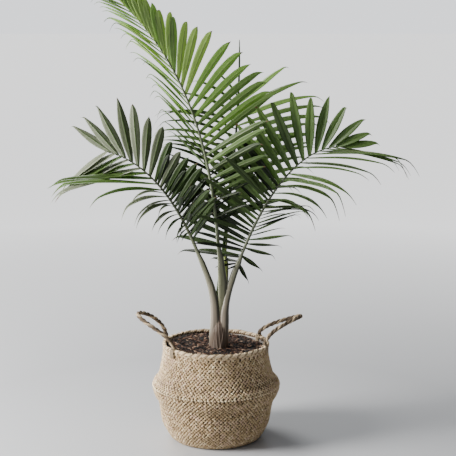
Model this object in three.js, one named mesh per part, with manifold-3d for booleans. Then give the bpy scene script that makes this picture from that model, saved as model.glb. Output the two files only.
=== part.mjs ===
// Majesty palm in a woven belly basket.
// Millimetres, +Z up. The origin is the centre of the basket's flat underside, and the plant is
// seen from the front when looking along +Y. Each frond is a leaf stalk and a blade of leaflets.
import * as THREE from 'three';
import { mergeVertices } from 'three/addons/utils/BufferGeometryUtils.js';
import Module from 'manifold-3d';

const wasm = await Module();
wasm.setup();

// ---- Driving dimensions ------------------------------------------------------------------
const GAP = 0.3; // air between neighbouring pieces

const BASKET = {
  height: 262,
  rimRadius: 140,
  baseRadius: 112,
  wall: 7,
  floor: 8,
  // outer wall, radius and height: foot, lower body, lower crease, belly, upper crease, neck
  outline: [[121, 6], [134, 24], [144, 46], [150, 84], [154, 105], [164, 122], [170, 143],
    [166, 159], [155, 171], [147, 198], [141, 232]],
  sides: 36,
};

const HANDLE = {
  rope: 12, // diameter
  halfSpan: 57, // half the distance between a handle's two feet
  sides: 8,
  steps: 32,
};
// turn: where the handle sits round the basket, in degrees. out and up: how far its loop reaches.
// roll: how far one leg of the loop is raised and the other lowered, halfway along each.
const HANDLES = {
  left: { turn: 192, out: 84, up: 82, roll: -17 },
  right: { turn: 6.5, out: 104, up: 62, roll: -10.5 },
};

const SOIL = { level: 250, topRadius: 132.9, footRadius: 104, sides: 36 };

const STEM = {
  top: 366,
  foot: [7, 0],
  crown: [10, 1],
  footHalf: [29, 26], // half widths at the foot of the root flare
  flareHalf: [26.6, 23.9],
  waistHalf: [25.5, 23],
  crownHalf: [26.5, 24],
  flareHeight: 22,
  sides: 20,
};

const SPEAR = {
  path: [[2, 13, STEM.top + GAP], [25, 17, 560], [64, 30, 800], [62, 38, 1055]],
  width: 9,
  tipWidth: 2.4,
  lastRing: 0.97, // the place on the path where the point begins
};

const RIB = { tipWidth: 2.6, lastRing: 0.985, sides: 6, steps: 12 };
const STALK_SIDES = 10;
const LIMB_DEPTH = 0.82; // of the width, from front to back

const LEAFLET = {
  spacing: 22, // along the rib
  width: 23, // the widest
  slimWidth: 11, // what a very short leaflet would have
  widthPerLength: 0.065,
  thicknessPerLength: 1 / 85,
  thinnest: 2.2,
  fold: 0.1, // how far the edges hang below the midrib, as a part of the width
  firstAt: 14, // from the end of the leaf stalk to the lowest pair
  clearance: 3.5, // half the distance kept between the blades of two fronds
  limbClearance: 3, // kept round a rib, a stalk or the spear
  steer: [0, 5, -5, 10, -10, 16, -16, 24, -24, 34, -34], // swings tried in turn, in degrees
};

// Places along a leaflet from root to tip, and its width there as a part of the widest.
const BLADE_STEPS = [0, 0.2, 0.52, 0.82];
const BLADE_WIDTHS = [0.45, 0.9, 1, 0.62];

// Fronds, from the oldest to the youngest. path: four control points of the stalk and rib.
// leafFrom: the place on the path where the leaflets begin. Every list under a side runs from
// its lowest leaflet to its last one: angle to the rib, swing out of the frond's plane towards
// the front, slat (how far a blade is tilted about its midrib), all three in degrees, length,
// and droop as a part of the length.
const FRONDS = [
  {
    name: 'left',
    path: [[-7, 0, STEM.top + GAP], [-40, 2, 512], [-126, 20, 733], [-294, 40, 767]],
    leafFrom: 0.341,
    stalk: [18, 12.5],
    rib: 9,
    right: {
      angle: [66, 70, 72, 60, 43, 10],
      swing: [34, 12, 5],
      slat: [12, 25],
      length: [160, 145, 125, 182, 125],
      droop: [0.03, 0.04, 0.02],
    },
    left: {
      angle: [92, 88, 83, 76, 64, 48, 49, 52, 54, 55, 54],
      swing: [86, 82, 78, 72, 60, 35, 25, 20, 18, 18, 18],
      slat: [-50, -46, -42, -40],
      length: [60, 98, 135, 171, 192, 290, 280, 245, 205, 165, 125],
      droop: [0.15, 0.2, 0.26, 0.25, 0.28, 0.06, 0.05, 0.04, 0.03, 0.02, 0.02],
    },
  },
  {
    name: 'right',
    path: [[27, 0, STEM.top + GAP], [61, -1, 504], [171, -55, 808], [331, -100, 790]],
    leafFrom: 0.194,
    stalk: [18, 13],
    rib: 9,
    right: {
      angle: [150, 88, 40, 44, 58, 54, 51, 40, 30, 20, 10],
      swing: [10, 20, 25, 50, 70, 66, 62, 58, 54, 50, 45],
      slat: [-58, -64, -76, -74, -66, -61, -58, -57, -56, -55, -54],
      length: [50, 72, 155, 195, 255, 266, 276, 292, 288, 215, 110],
      droop: [0, 0.03, 0.03, 0.12, 0.2, 0.22, 0.2, 0.15, 0.12, 0.1, 0.1],
    },
    left: {
      angle: [124, 97, 85, 77, 71, 70, 71, 60, 47, 29, 10],
      swing: [-3, -18, -9, -2, 3, 7, 8, 8, 8, 8, 8],
      slat: [10, 25],
      length: [10, 200, 228, 235, 225, 218, 216, 200, 165, 120, 82],
      droop: [0.05, 0.04, 0.04],
    },
  },
  {
    name: 'tall',
    path: [[13, -11, STEM.top + GAP], [9, -21, 665], [-27, -78, 956], [-233, -170, 1158]],
    leafFrom: 0.316,
    stalk: [17, 12],
    rib: 8,
    right: {
      angle: [69, 66, 60, 28, 14, 10],
      swing: [-8, 0, 0],
      slat: [8, 12, 30, 40],
      length: [130, 250, 188, 132, 85],
      droop: [0.03, 0.1, 0.04],
    },
    left: {
      angle: [74, 57, 48, 42, 41, 40],
      swing: [-61, -60, -57],
      slat: [30, 26],
      length: [175, 240, 214, 180, 90],
      droop: [0.12, 0.11, 0.16],
    },
  },
  {
    name: 'rear',
    path: [[17, 14, STEM.top + GAP], [26, 29, 554], [42, 84, 728], [65, 150, 905]],
    leafFrom: 0.455,
    stalk: [14, 10],
    rib: 7,
    right: {
      angle: [64, 64, 65, 67, 62, 35],
      swing: [15, 14, 13],
      slat: [-40, -35],
      length: [222, 237, 252, 268, 150],
      droop: [0.16, 0.18, 0.16],
    },
    left: {
      angle: [65, 64, 71, 79, 80, 35],
      swing: [14, 13, 12],
      slat: [-40, -35],
      length: [244, 227, 236, 255, 110],
      droop: [0.14, 0.23, 0.2],
    },
  },
];

// ---- Colours -----------------------------------------------------------------------------
const finish = (color, roughness) => new THREE.MeshStandardMaterial({ color, roughness, metalness: 0 });
const SEAGRASS = finish(0xbfa57f, 0.85);
const ROPE = finish(0xa98d68, 0.9);
const BARK_MULCH = finish(0x3c2922, 0.95);
const SHEATH = finish(0x85796a, 0.7);
const STALK = finish(0x8f9b7c, 0.5);
const YOUNG_STALK = finish(0x7d9a3f, 0.5);
const GREENS = { left: 0x55704a, right: 0x41692f, tall: 0x6d9a3b, rear: 0x3b6129 };

// ---- Small tools -------------------------------------------------------------------------
const vec = ([x, y, z]) => new THREE.Vector3(x, y, z);
const radians = THREE.MathUtils.degToRad;
const FRONT = new THREE.Vector3(0, -1, 0);
const DOWN = new THREE.Vector3(0, 0, -1);

// Value at t in a list of values that stand at equal steps from 0 to 1.
function along(values, t) {
  const place = t * (values.length - 1);
  const step = Math.min(Math.floor(place), values.length - 2);
  return THREE.MathUtils.lerp(values[step], values[step + 1], place - step);
}

// The same jitter, from -1 to 1, for the same leaflet each time.
function jitter(seed) {
  const wave = Math.sin(seed * 12.9898 + 4.1414) * 43758.5453;
  return 2 * (wave - Math.floor(wave)) - 1;
}

// Closed skin over rings of points that run the same way round, with a flat cap or a tip.
function loft(rings, tip) {
  const sides = rings[0].length;
  const points = rings.flat();
  const faces = [];
  const at = (ring, side) => ring * sides + (side % sides);
  for (let ring = 0; ring + 1 < rings.length; ring += 1) {
    for (let side = 0; side < sides; side += 1) {
      faces.push(at(ring, side), at(ring, side + 1), at(ring + 1, side + 1));
      faces.push(at(ring, side), at(ring + 1, side + 1), at(ring + 1, side));
    }
  }
  const last = rings.length - 1;
  for (let side = 1; side + 1 < sides; side += 1) {
    faces.push(at(0, 0), at(0, side + 1), at(0, side));
    if (!tip) faces.push(at(last, 0), at(last, side), at(last, side + 1));
  }
  if (tip) {
    points.push(tip);
    for (let side = 0; side < sides; side += 1) {
      faces.push(at(last, side), at(last, side + 1), points.length - 1);
    }
  }
  const geometry = new THREE.BufferGeometry().setFromPoints(points);
  geometry.setIndex(faces);
  return geometry;
}

function toSolid(geometry) {
  const merged = mergeVertices(geometry, 1e-3);
  return new wasm.Manifold(new wasm.Mesh({
    numProp: 3,
    vertProperties: merged.attributes.position.array,
    triVerts: new Uint32Array(merged.index.array),
  }));
}

// The solid without the sealed pockets that crossing pieces leave inside it.
function outerSkin(solid) {
  return solid.decompose().reduce((a, b) => (a.volume() > b.volume() ? a : b));
}

function toGeometry(solid) {
  const mesh = solid.getMesh();
  const geometry = new THREE.BufferGeometry();
  geometry.setAttribute('position', new THREE.BufferAttribute(mesh.vertProperties, 3));
  geometry.setIndex(new THREE.BufferAttribute(mesh.triVerts, 1));
  return geometry;
}

const group = new THREE.Group();
function add(name, geometry, material) {
  const mesh = new THREE.Mesh(geometry, material);
  mesh.name = name;
  group.add(mesh);
  return mesh;
}

// ---- Basket, handles and soil ------------------------------------------------------------
function turned(outline, sides) {
  const geometry = new THREE.LatheGeometry(outline.map(([r, z]) => new THREE.Vector2(r, z)), sides);
  return geometry.rotateX(Math.PI / 2);
}

function basket() {
  const { height, rimRadius, baseRadius, wall, floor, outline } = BASKET;
  const outside = [[0, 0], [baseRadius, 0], ...outline, [rimRadius, height]];
  const inside = outline.slice(1).map(([r, z]) => [r - wall, z]).reverse();
  const rimInside = [rimRadius - wall, height];
  const footInside = [baseRadius - wall, floor];
  return turned([...outside, rimInside, ...inside, footInside, [0, floor]], BASKET.sides);
}

// Centre line of a handle: both feet stand upright on the rim, and the loop leans out between them.
class HandleLine extends THREE.Curve {
  constructor({ turn, out, up, roll }) {
    super();
    const angle = radians(turn);
    this.outward = new THREE.Vector3(Math.cos(angle), Math.sin(angle), 0);
    this.across = new THREE.Vector3(-Math.sin(angle), Math.cos(angle), 0);
    this.footOut = Math.sqrt((BASKET.rimRadius - BASKET.wall / 2) ** 2 - HANDLE.halfSpan ** 2);
    this.out = out;
    this.up = up;
    this.roll = roll;
  }

  getPoint(t) {
    const reach = Math.sin(Math.PI * t);
    const point = this.outward.clone().multiplyScalar(this.footOut + this.out * reach ** 2);
    point.addScaledVector(this.across, HANDLE.halfSpan * Math.cos(Math.PI * t));
    point.z = BASKET.height + GAP + (this.up + this.roll * Math.cos(Math.PI * t)) * reach;
    return point;
  }
}

function handle(place) {
  const section = new THREE.Shape();
  section.absarc(0, 0, HANDLE.rope / 2, 0, Math.PI * 2);
  return new THREE.ExtrudeGeometry(section, {
    extrudePath: new HandleLine(place),
    steps: HANDLE.steps,
    curveSegments: HANDLE.sides / 2,
    bevelEnabled: false,
  });
}

function soil() {
  const { level, topRadius, footRadius, sides } = SOIL;
  const foot = BASKET.floor + GAP;
  return turned([[0, foot], [footRadius, foot], [topRadius, level], [0, level]], sides);
}

// ---- Stem, leaf stalks and spear ---------------------------------------------------------
function stem() {
  const { top, foot, crown, flareHeight, sides } = STEM;
  const bottom = SOIL.level + GAP;
  const heights = [bottom, bottom + flareHeight / 2, bottom + flareHeight, (bottom + top) / 2, top];
  const halves = [STEM.footHalf, STEM.flareHalf, STEM.waistHalf, STEM.waistHalf, STEM.crownHalf];
  const rings = heights.map((z, i) => {
    const t = (z - bottom) / (top - bottom);
    const x = THREE.MathUtils.lerp(foot[0], crown[0], t);
    const y = THREE.MathUtils.lerp(foot[1], crown[1], t);
    return Array.from({ length: sides }, (_, side) => {
      const round = (2 * Math.PI * side) / sides;
      return new THREE.Vector3(x + halves[i][0] * Math.cos(round), y + halves[i][1] * Math.sin(round), z);
    });
  });
  return loft(rings);
}

// A limb along part of a path: its width goes evenly from the first value to the second.
// flatFoot sets the first ring level, so that it stands on a level face.
function limb(path, from, to, widths, { sides, steps, depth = LIMB_DEPTH, flatFoot = false, tip }) {
  const rings = [];
  for (let step = 0; step <= steps; step += 1) {
    const t = THREE.MathUtils.lerp(from, to, step / steps);
    const centre = path.getPoint(t);
    const { tangent, face, side } = frameAt(path, t);
    const half = THREE.MathUtils.lerp(widths[0], widths[1], step / steps) / 2;
    const ring = Array.from({ length: sides }, (_, i) => {
      const round = (2 * Math.PI * (i + 0.5)) / sides;
      const point = centre.clone().addScaledVector(side, half * Math.cos(round));
      point.addScaledVector(face, half * depth * Math.sin(round));
      if (flatFoot && step === 0) point.addScaledVector(tangent, (centre.z - point.z) / tangent.z);
      return point;
    });
    rings.push(ring.reverse());
  }
  return loft(rings, tip);
}

// Directions at a place on a path: along it, towards the front, and to its right.
function frameAt(path, t) {
  const tangent = path.getTangent(t);
  const face = FRONT.clone().addScaledVector(tangent, -FRONT.dot(tangent)).normalize();
  return { tangent, face, side: new THREE.Vector3().crossVectors(tangent, face) };
}

// ---- Leaflets ----------------------------------------------------------------------------
// Rings of a leaflet's blade, and its tip. twist tilts the blade like a slat about its midrib.
function leafletRings(root, direction, rib, length, droop, twist) {
  const width = Math.min(LEAFLET.width, LEAFLET.slimWidth + LEAFLET.widthPerLength * length);
  const thick = Math.max(LEAFLET.thinnest, LEAFLET.thicknessPerLength * length);
  const place = (s) => root.clone().addScaledVector(direction, length * s)
    .addScaledVector(DOWN, length * droop * s ** 3);
  const rings = BLADE_STEPS.map((s, i) => {
    const ahead = direction.clone().addScaledVector(DOWN, 3 * droop * s * s).normalize();
    const across = rib.clone().addScaledVector(ahead, -rib.dot(ahead)).normalize();
    across.applyAxisAngle(ahead, twist);
    const up = new THREE.Vector3().crossVectors(ahead, across).normalize();
    const centre = place(s);
    const half = (width * BLADE_WIDTHS[i]) / 2;
    const drop = -LEAFLET.fold * half * 2;
    return [
      centre.clone().addScaledVector(across, half).addScaledVector(up, drop),
      centre.clone().addScaledVector(up, thick / 2),
      centre.clone().addScaledVector(across, -half).addScaledVector(up, drop),
      centre.clone().addScaledVector(up, -thick / 2),
    ];
  });
  return { rings, tip: place(1) };
}

// Places taken by blades and limbs, in a grid, so that no frond grows through another.
const taken = new Map();
const CELL = 24;
const cellOf = (point) => [point.x, point.y, point.z].map((value) => Math.floor(value / CELL));

function claim(owner, points, radius) {
  points.forEach((point) => {
    const key = cellOf(point).join();
    if (!taken.has(key)) taken.set(key, []);
    taken.get(key).push({ owner, point, radius });
  });
}

function isFree(owner, points, radius) {
  return points.every((point) => {
    const [cx, cy, cz] = cellOf(point);
    for (let x = cx - 1; x <= cx + 1; x += 1) {
      for (let y = cy - 1; y <= cy + 1; y += 1) {
        for (let z = cz - 1; z <= cz + 1; z += 1) {
          const here = taken.get([x, y, z].join()) ?? [];
          const close = here.some((spot) => spot.owner !== owner
            && spot.point.distanceTo(point) < spot.radius + radius);
          if (close) return false;
        }
      }
    }
    return true;
  });
}

// Points along the midrib and both edges of a blade, some 6 mm apart.
function bladePoints({ rings, tip }) {
  const points = [];
  [0, 1, 2].forEach((corner) => {
    const line = [...rings.map((ring) => ring[corner]), tip];
    for (let i = 0; i + 1 < line.length; i += 1) {
      const count = Math.ceil(line[i].distanceTo(line[i + 1]) / 6);
      for (let k = 0; k < count; k += 1) points.push(line[i].clone().lerp(line[i + 1], k / count));
    }
  });
  return points;
}

// One leaflet: its swing is steered a little where another frond is in the way.
function leaflet(frond, path, side, index, w) {
  const profile = frond[side];
  const t = THREE.MathUtils.lerp(frond.leafFrom, 1, w);
  const { tangent, face, side: rightward } = frameAt(path, t);
  const outward = rightward.multiplyScalar(side === 'right' ? 1 : -1);
  const seed = index * 7 + frond.name.length * 31 + (side === 'right' ? 3 : 5);
  const angle = radians(along(profile.angle, w) + 3 * jitter(seed));
  const length = along(profile.length, w) * (1 + 0.05 * jitter(seed + 101));
  const droop = along(profile.droop, w) * (1 + 0.25 * jitter(seed + 202));
  const twist = radians(along(profile.slat, w)) * (side === 'right' ? 1 : -1);
  for (const steer of LEAFLET.steer) {
    const swing = radians(along(profile.swing, w) + 3 * jitter(seed + 303) + steer);
    const sideways = outward.clone().multiplyScalar(Math.cos(swing)).addScaledVector(face, Math.sin(swing));
    const direction = tangent.clone().multiplyScalar(Math.cos(angle))
      .addScaledVector(sideways, Math.sin(angle));
    const blade = leafletRings(path.getPoint(t), direction, tangent, length, droop, twist);
    const points = bladePoints(blade);
    if (isFree(frond.name, points, LEAFLET.clearance)) {
      claim(frond.name, points, LEAFLET.clearance);
      return blade;
    }
  }
  return null;
}

function frond(spec) {
  const path = new THREE.CubicBezierCurve3(...spec.path.map(vec));
  const reach = path.getLength();
  const seam = (GAP / 2) / reach;
  const start = spec.leafFrom;
  const ribTip = path.getPoint(1);
  const rib = limb(path, start + seam, RIB.lastRing, [spec.rib, RIB.tipWidth], { ...RIB, tip: ribTip });
  const leafy = reach * (1 - start);
  const count = Math.round(leafy / LEAFLET.spacing);
  const first = LEAFLET.firstAt / leafy;
  let blade = toSolid(rib);
  for (let index = 0; index < count; index += 1) {
    ['right', 'left'].forEach((side, half) => {
      const w = first + ((1 - first) * (index + 0.5 * half)) / count;
      const rings = leaflet(spec, path, side, index, w);
      if (rings) blade = blade.add(toSolid(loft(rings.rings, rings.tip)));
    });
  }
  return toGeometry(outerSkin(blade));
}

// ---- Assembly ----------------------------------------------------------------------------
add('basket', basket(), SEAGRASS);
add('handle_left', handle(HANDLES.left), ROPE);
add('handle_right', handle(HANDLES.right), ROPE);
add('potting_soil', soil(), BARK_MULCH);
add('stem', stem(), SHEATH);

// A limb's own space, so that the leaflets of other fronds keep out of it.
function claimLimb(owner, path, width) {
  claim(owner, path.getSpacedPoints(Math.ceil(path.getLength() / 6)), width / 2 + LEAFLET.limbClearance);
}

FRONDS.forEach((spec) => {
  const path = new THREE.CubicBezierCurve3(...spec.path.map(vec));
  const seam = (GAP / 2) / path.getLength();
  const stalk = limb(path, 0, spec.leafFrom - seam, spec.stalk, {
    sides: STALK_SIDES, steps: 9, flatFoot: true,
  });
  add(`stalk_${spec.name}`, stalk, spec.name === 'rear' ? YOUNG_STALK : STALK);
  claimLimb(spec.name, path, spec.stalk[0]);
});

const spearPath = new THREE.CubicBezierCurve3(...SPEAR.path.map(vec));
const spear = limb(spearPath, 0, SPEAR.lastRing, [SPEAR.width, SPEAR.tipWidth], {
  sides: 6, steps: 14, depth: 1, flatFoot: true, tip: spearPath.getPoint(1),
});
add('spear_leaf', spear, finish(GREENS.rear, 0.5));
claimLimb('spear', spearPath, SPEAR.width);

FRONDS.forEach((spec) => add(`frond_${spec.name}`, frond(spec), finish(GREENS[spec.name], 0.45)));

export default group;
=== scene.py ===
"""Majesty palm in a woven belly basket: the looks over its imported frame.

Metres, +Z up, and the plant's front faces -Y. Leaflets grow by the same rule as in the part's source.
"""

import math

import bpy
import numpy as np
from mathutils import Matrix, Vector


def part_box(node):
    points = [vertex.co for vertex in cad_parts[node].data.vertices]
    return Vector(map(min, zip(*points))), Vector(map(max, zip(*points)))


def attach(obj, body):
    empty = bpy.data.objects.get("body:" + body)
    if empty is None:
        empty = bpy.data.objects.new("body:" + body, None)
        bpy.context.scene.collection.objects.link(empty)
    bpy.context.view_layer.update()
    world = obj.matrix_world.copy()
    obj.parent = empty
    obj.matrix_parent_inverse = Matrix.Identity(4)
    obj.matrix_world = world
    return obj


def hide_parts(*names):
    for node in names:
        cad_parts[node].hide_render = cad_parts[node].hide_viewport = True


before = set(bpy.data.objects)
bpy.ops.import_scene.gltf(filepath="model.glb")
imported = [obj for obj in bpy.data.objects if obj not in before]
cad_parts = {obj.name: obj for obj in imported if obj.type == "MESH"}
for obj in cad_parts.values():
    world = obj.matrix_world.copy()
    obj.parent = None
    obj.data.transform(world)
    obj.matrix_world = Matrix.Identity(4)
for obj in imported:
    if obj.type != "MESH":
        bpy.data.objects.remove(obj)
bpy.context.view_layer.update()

# ---- Sizes, in metres ----
UP = np.array([0, 0, 1])
DOWN = -UP
FRONT = np.array([0, -1, 0])

BASKET_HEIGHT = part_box("basket")[1].z
RIM_RADIUS = 0.14
WALL = 0.007
BASKET_FLOOR = 0.0002  # lowest point of the visible wall
# Outer wall, radius and height: base, foot, lower body, lower crease, belly, upper crease, neck, rim.
BASKET_OUTLINE = [
    (0.012, 0), (0.06, 0), (0.108, 0), (0.122, 0.006), (0.134, 0.024), (0.144, 0.046),
    (0.15, 0.084), (0.154, 0.105), (0.164, 0.122), (0.17, 0.143), (0.166, 0.159),
    (0.155, 0.171), (0.147, 0.198), (0.141, 0.232), (0.14, 0.258),
]
NECK_FROM = 0.132  # height where the wall's mesh parts into body and neck
ROW_PITCH = 0.0052
COLLAR_ROWS = 3
STITCHES = 92  # in each row, and fewer where the wall is narrower than FULL_RADIUS
FULL_RADIUS = 0.12
STITCH = np.array([0.006, 0.0023, 0.0024])  # half length, half width, half thickness
STITCH_SPREAD = ([0.85, 0.8, 0.8], [1.15, 1.15, 1])  # least and greatest share of those
# A stitch's rings: place along it, share of its width, and how far its ends dip into the wall.
STITCH_RINGS = ((-1, 0.4, 0.003), (-0.45, 1, 0), (0.45, 1, 0), (1, 0.4, 0.003))
# The bright row: larger, upright stitches whose pale tones are partly paler straw and partly painted
# highlight along the belly's crest.
BRIGHT_ROW = 0.1475  # height of the row of pale stitches round the belly
GRASSES = {
    "grass_brown": (0.4, 0.28, 0.15), "grass_tan": (0.57, 0.42, 0.24), "grass_rosy": (0.63, 0.45, 0.3),
    "grass_straw": (0.76, 0.6, 0.38), "grass_pale": (0.9, 0.73, 0.48),
}
# Each kind of row: its share of the stitches, their lean from upright, their size against the usual,
# how far they lie below the skin, and how often each tone of grass comes, from brown to pale.
ROW_KINDS = {
    "upper": (1, 0.78, (1, 1, 1), 0.0025, (0.06, 0.5, 0.2, 0.22, 0.02)),
    # Lower rows: a browner mix than the upper ones, painted shade below the belly.
    "lower": (1, 0.78, (1, 1, 1), 0.0025, (0.2, 0.54, 0.14, 0.11, 0.01)),
    # Pale tones: partly paler straw, partly painted highlight on the belly's crest.
    "bright": (1.3, 1, (0.66, 0.95, 1.1), 0.0014, (0, 0, 0.15, 0.55, 0.3)),
    "shaded": (1, 0.78, (1, 1, 1), 0.0032, (0.45, 0.55, 0, 0, 0)),
    "collar": (0.66, 0.8, (1.3, 1.1, 1.1), 0.003, (0.2, 0.22, 0.14, 0.32, 0.12)),
}
BEHIND_STITCHES = 0.0044  # how far the ground of the wall lies below its skin
GROUND_THICKNESS = 0.0022
GROUND_FLOOR = (0.004, 0.0064)  # underside and top
RIM_STRAND = 0.0026  # radius of each of the rim's three strands
RIM_PITCH = 0.021
LINER_RADIUS = 0.1318
LINER_THICKNESS = 0.0008
LINER_HEIGHTS = [0.226, 0.234, 0.241, 0.247, 0.2505]

ROPE_STRAND = 0.0031  # radius of each of a handle's three strands
ROPE_PITCH = 0.045
HANDLE_GAP = 0.0003  # from the rim to a handle's feet
HANDLE_HALF_SPAN = 0.057
FOOT_DROP = 0.016  # how far the visible rope goes on down inside the wall
# turn: where a handle sits round the basket. out and up: how far its loop reaches.
# roll: how far one leg of the loop is raised and the other lowered.
HANDLES = {
    "left": {"turn": 192, "out": 0.084, "up": 0.082, "roll": -0.017},
    "right": {"turn": 6.5, "out": 0.104, "up": 0.062, "roll": -0.0105},
}
LASH_TURNS = 5
LASH_PITCH = 0.0029
LASH_MIDDLE = (0.136, 0.2498)  # radius and height
LASH_REACH = (0.0066, 0.0122)  # half size, outwards and upwards
LASH_STRAND = (0.0014, 0.0011)  # half width and half thickness

SOIL_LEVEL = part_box("potting_soil")[1].z
SOIL_RADIUS = 0.1325
SOIL_UNDERSIDE = 0.2
SOIL_MIDDLE = 0.0006  # radius of the bed's innermost ring
CHIPS = 1900
CHIP_SIZES = ([0.0025, 0.0014, 0.0007], [0.0085, 0.004, 0.0019])  # least and greatest half sizes
# A chip's rings: place along it and share of its width.
CHIP_RINGS = ((-1, 0.35), (-0.55, 0.85), (0.1, 1), (0.7, 0.8), (1, 0.3))
# Each tone of bark, and its share of the chips.
BARKS = {"bark_dark": (0.005, 0.003, 0.002), "bark_brown": (0.055, 0.025, 0.014),
         "bark_red": (0.15, 0.072, 0.043), "bark_pale": (0.36, 0.23, 0.15)}
BARK_SHARES = [0.42, 0.33, 0.17, 0.08]

STEM_FOOT = SOIL_LEVEL - 0.01
STEM_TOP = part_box("stem")[1].z - 0.034  # the stalks' feet hide the rest
STEM_WAIST = 0.288  # height where the stem begins to narrow
STEM_MIDDLE = 0.0078
STEM_HALF = (0.0232, 0.0215)  # half width and half depth at the foot
# Where an old sheath's margin lies round the foot of the stem, how it leans, and how high it steps.
SHEATH_MARGINS = [(-1.2, 9, 0.0016), (-2.1, -12, 0.0014), (0.6, 6, 0.0016), (2.4, -7, 0.0018)]

LEAFLET_SPACING = 0.022
LEAFLET_WIDTH = 0.023
SLIM_WIDTH = 0.011
WIDTH_PER_LENGTH = 0.065
FOLD = 0.1
FIRST_LEAFLET = 0.014
CLEARANCE = 0.0035
LIMB_CLEARANCE = 0.003
SPOT_PITCH = 0.006  # between the points that stand for a limb or a blade when room is sought
STEERS = [0, 5, -5, 10, -10, 16, -16, 24, -24, 34, -34]
BLADE_STEPS = [0, 0.2, 0.52, 0.82]
BLADE_WIDTHS = [0.45, 0.9, 1, 0.62]

SPEAR_PATH = [(2, 13, 366.3), (25, 17, 560), (64, 30, 800), (62, 38, 1055)]
SPEAR_WIDTH = 0.009
# Fronds from the oldest to the youngest, with paths in millimetres.
# inner: where along the rib a side bears smaller leaflets between its own, and where it bears those
# that fill the deepest part of the crown.
FRONDS = {
    "left": {
        "path": [(-7, 0, 366.3), (-40, 2, 512), (-126, 20, 733), (-294, 40, 767)], "leaf_from": 0.341,
        "stalk": 0.018, "rib": 0.009,
        "right": {
            "angle": [66, 70, 72, 60, 43, 10], "swing": [34, 12, 5], "slat": [12, 25],
            "length": [160, 145, 125, 182, 125], "droop": [0.03, 0.04, 0.02],
            "breadth": [0.7, 0.9, 1.2, 1.3, 1.25, 1.1], "inner": [(0, 0.5), (0, 0.25)]},
        "left": {
            "angle": [92, 88, 83, 76, 64, 48, 49, 52, 54, 55, 54],
            "swing": [86, 82, 78, 72, 60, 35, 25, 20, 18, 18, 18], "slat": [-50, -46, -42, -40],
            "length": [60, 98, 135, 171, 192, 290, 280, 245, 205, 165, 125],
            "droop": [0.15, 0.2, 0.26, 0.25, 0.28, 0.06, 0.05, 0.04, 0.03, 0.02, 0.02],
            "breadth": [0.4, 0.5, 0.9, 1.3, 1.3, 1.2], "inner": [(0.1, 0.45), (1, 0)]},
    },
    "right": {
        "path": [(27, 0, 366.3), (61, -1, 504), (171, -55, 808), (331, -100, 790)], "leaf_from": 0.194,
        "stalk": 0.018, "rib": 0.009,
        "right": {
            "angle": [150, 88, 40, 44, 58, 54, 51, 40, 30, 20, 10],
            "swing": [10, 20, 25, 50, 70, 66, 62, 58, 54, 50, 45],
            "slat": [-58, -64, -76, -74, -66, -61, -58, -57, -56, -55, -54],
            "length": [50, 72, 155, 195, 255, 266, 276, 292, 288, 215, 110],
            "droop": [0, 0.03, 0.03, 0.12, 0.2, 0.22, 0.2, 0.15, 0.12, 0.1, 0.1], "breadth": [1, 1.15, 1.3],
            "inner": [(0.12, 0.4), (1, 0)]},
        "left": {
            "angle": [124, 97, 85, 77, 71, 70, 71, 60, 47, 29, 10],
            "swing": [-3, -18, -9, -2, 3, 7, 8, 8, 8, 8, 8], "slat": [10, 25],
            "length": [10, 200, 228, 235, 225, 218, 216, 200, 165, 120, 82], "droop": [0.05, 0.04, 0.04],
            "breadth": [0.6, 0.8, 1.05, 1.2, 1.25, 1.2], "inner": [(0.03, 0.5), (0, 0.28)]},
    },
    "tall": {
        "path": [(13, -11, 366.3), (9, -21, 665), (-27, -78, 956), (-233, -170, 1158)], "leaf_from": 0.316,
        "stalk": 0.017, "rib": 0.008,
        "right": {
            "angle": [69, 66, 60, 28, 14, 10], "swing": [-8, 0, 0], "slat": [8, 12, 30, 40],
            "length": [130, 250, 188, 132, 85], "droop": [0.03, 0.1, 0.04], "breadth": [0.6, 1, 1.25, 1.15],
            "inner": [(-0.2, 0.12), (-0.2, 0.05)]},
        "left": {
            "angle": [74, 57, 48, 42, 41, 40], "swing": [-61, -60, -57], "slat": [30, 26],
            "length": [175, 240, 214, 180, 90], "droop": [0.12, 0.11, 0.16],
            "inner": [(-0.2, 0.08), (-0.2, 0)]},
    },
    "rear": {
        "path": [(17, 14, 366.3), (26, 29, 554), (42, 84, 728), (65, 150, 905)], "leaf_from": 0.455,
        "stalk": 0.014, "rib": 0.007,
        "right": {
            "angle": [64, 64, 65, 67, 62, 35], "swing": [15, 14, 13], "slat": [-40, -35],
            "length": [222, 237, 252, 268, 150], "droop": [0.16, 0.18, 0.16],
            "inner": [(-0.1, 0.12), (-0.1, 0.08)]},
        "left": {
            "angle": [65, 64, 71, 79, 80, 35], "swing": [14, 13, 12], "slat": [-40, -35],
            "length": [244, 227, 236, 255, 110], "droop": [0.14, 0.23, 0.2], "breadth": [0.62, 0.62],
            "inner": [(-0.1, 0.05), (-0.1, 0.08)]},
    },
}
INNER_SHARE = {"length": 0.8, "width": 0.75, "clearance": -0.002, "swing": 9}
# The right frond's two lowest leaflets, behind the stalks: place along the rib, tip, droop and width.
LOW_LEAFLETS = [(0.245, (-0.107, 0.09, 0.492), 0.05, 0.0115),
                (0.225, (-0.016, 0.062, 0.476), 0.03, 0.01)]
# Leaflets are numbered along the rib: the inner ones a step higher each time, and the two lowest last.
INNER_STEP = 40
INNER_FIRST = -4
LOW_NUMBER = 130


# ---- Shader nodes as expressions ----
class Wire:
    """A node's output that takes part in sums."""

    def __init__(self, nodes, socket):
        self.nodes = nodes
        self.socket = socket

    def sum(self, operation, other):
        return self.nodes.node("ShaderNodeMath", self, other, operation=operation)

    def __add__(self, other):
        return self.sum("ADD", other)

    def __sub__(self, other):
        return self.sum("SUBTRACT", other)

    def __mul__(self, other):
        return self.sum("MULTIPLY", other)


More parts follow.
